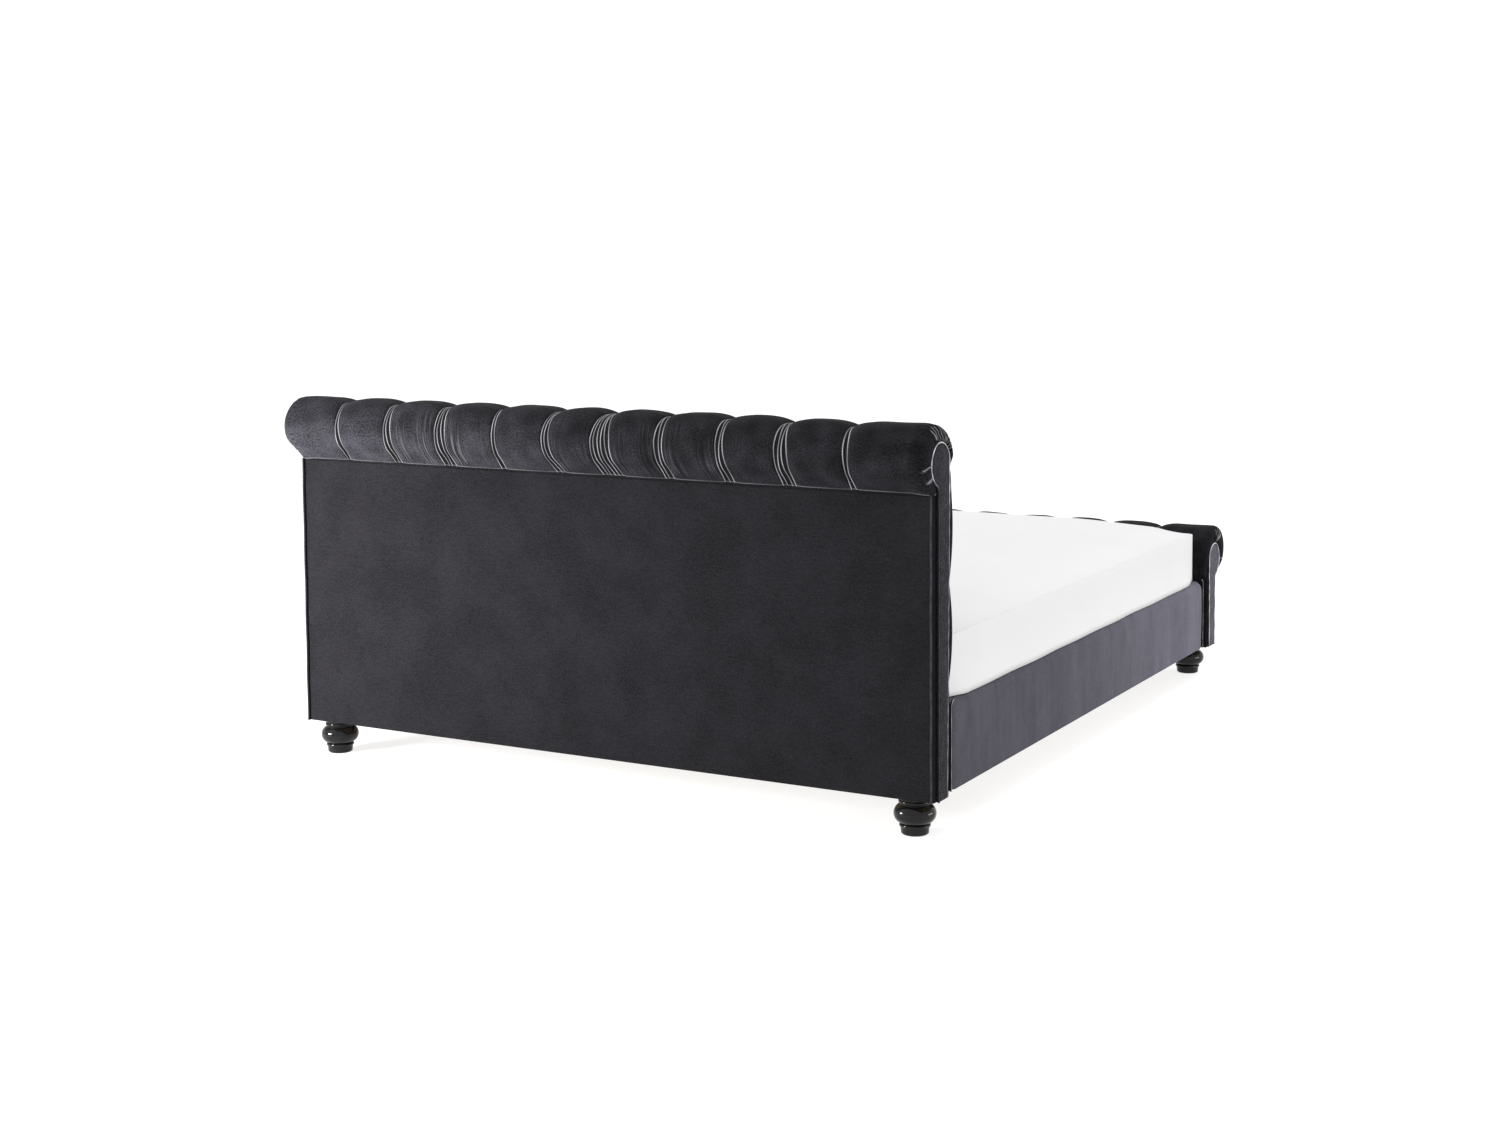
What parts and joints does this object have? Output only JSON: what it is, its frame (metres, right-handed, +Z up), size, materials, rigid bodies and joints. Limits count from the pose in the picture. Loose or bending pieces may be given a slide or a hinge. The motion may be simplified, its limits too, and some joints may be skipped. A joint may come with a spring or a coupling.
{
  "type": "sleigh bed",
  "caption": "Upholstered sleigh bed with a pleated scroll headboard, a lower scroll footboard, padded side rails, a slatted base, turned bun feet and a mattress.",
  "frame": {"origin": "on the floor, under the middle of the whole bed", "axes": "+Z up, +Y from the footboard to the headboard, +X to the right seen from the foot of the bed"},
  "size_m": [1.93, 2.4074, 1.001],
  "materials": {
    "mattress_cover": "matte",
    "black_lacquer": "gloss",
    "woven_back_cloth": "matte",
    "welt_cord": "satin",
    "velvet_buttons": "satin",
    "tufted_velvet": "satin",
    "end_panel_velvet": "satin",
    "rail_velvet": "satin",
    "painted_steel": "satin",
    "zinc_steel": "satin",
    "socket_plastic": "matte",
    "birch_slat": "satin",
    "birch_plywood": "matte",
    "frame_timber": "matte"
  },
  "bodies": {
    "bed_frame": {"beam_hangers": "painted_steel", "bracket_bolts": "zinc_steel", "bun_foot_foot_left": "black_lacquer", "bun_foot_foot_right": "black_lacquer", "bun_foot_head_left": "black_lacquer", "bun_foot_head_right": "black_lacquer", "centre_beam": "frame_timber", "centre_leg_glides": "socket_plastic", "centre_legs": "frame_timber", "corner_brackets": "painted_steel", "foot_hanger_bolts": "zinc_steel", "footboard_bottom_rail": "frame_timber", "footboard_buttons": "velvet_buttons", "footboard_curved_facing": "birch_plywood", "footboard_end_panel_left": "end_panel_velvet", "footboard_end_panel_right": "end_panel_velvet", "footboard_end_ribs": "birch_plywood", "footboard_end_welt_left": "welt_cord", "footboard_end_welt_right": "welt_cord", "footboard_front_padding": "tufted_velvet", "footboard_inner_ribs": "birch_plywood", "footboard_outer_panel": "woven_back_cloth", "footboard_packing_blocks": "frame_timber", "footboard_panel_welts": "welt_cord", "footboard_post_left": "frame_timber", "footboard_post_right": "frame_timber", "footboard_roll_padding": "tufted_velvet", "footboard_top_rail": "frame_timber", "headboard_back_panel": "woven_back_cloth", "headboard_bottom_rail": "frame_timber", "headboard_buttons": "velvet_buttons", "headboard_curved_facing": "birch_plywood", "headboard_end_panel_left": "end_panel_velvet", "headboard_end_panel_right": "end_panel_velvet", "headboard_end_ribs": "birch_plywood", "headboard_end_welt_left": "welt_cord", "headboard_end_welt_right": "welt_cord", "headboard_front_padding": "tufted_velvet", "headboard_inner_ribs": "birch_plywood", "headboard_middle_rail": "frame_timber", "headboard_packing_blocks": "frame_timber", "headboard_panel_welts": "welt_cord", "headboard_post_left": "frame_timber", "headboard_post_right": "frame_timber", "headboard_roll_padding": "tufted_velvet", "headboard_top_rail": "frame_timber", "rail_end_welts": "welt_cord", "side_rail_cover_left": "rail_velvet", "side_rail_cover_right": "rail_velvet", "side_rail_left": "frame_timber", "side_rail_right": "frame_timber", "slat_centre_sockets": "socket_plastic", "slat_ledge_left": "frame_timber", "slat_ledge_right": "frame_timber", "slat_side_sockets_left": "socket_plastic", "slat_side_sockets_right": "socket_plastic", "slats_left": "birch_slat", "slats_right": "birch_slat"},
    "mattress": {"mattress": "mattress_cover"}
  },
  "joints": [
    {"name": "mattress_lift", "type": "slide", "parent": "bed_frame", "child": "mattress", "axis": [0, 0, 1], "range_m": [0, 0.34]}
  ]
}
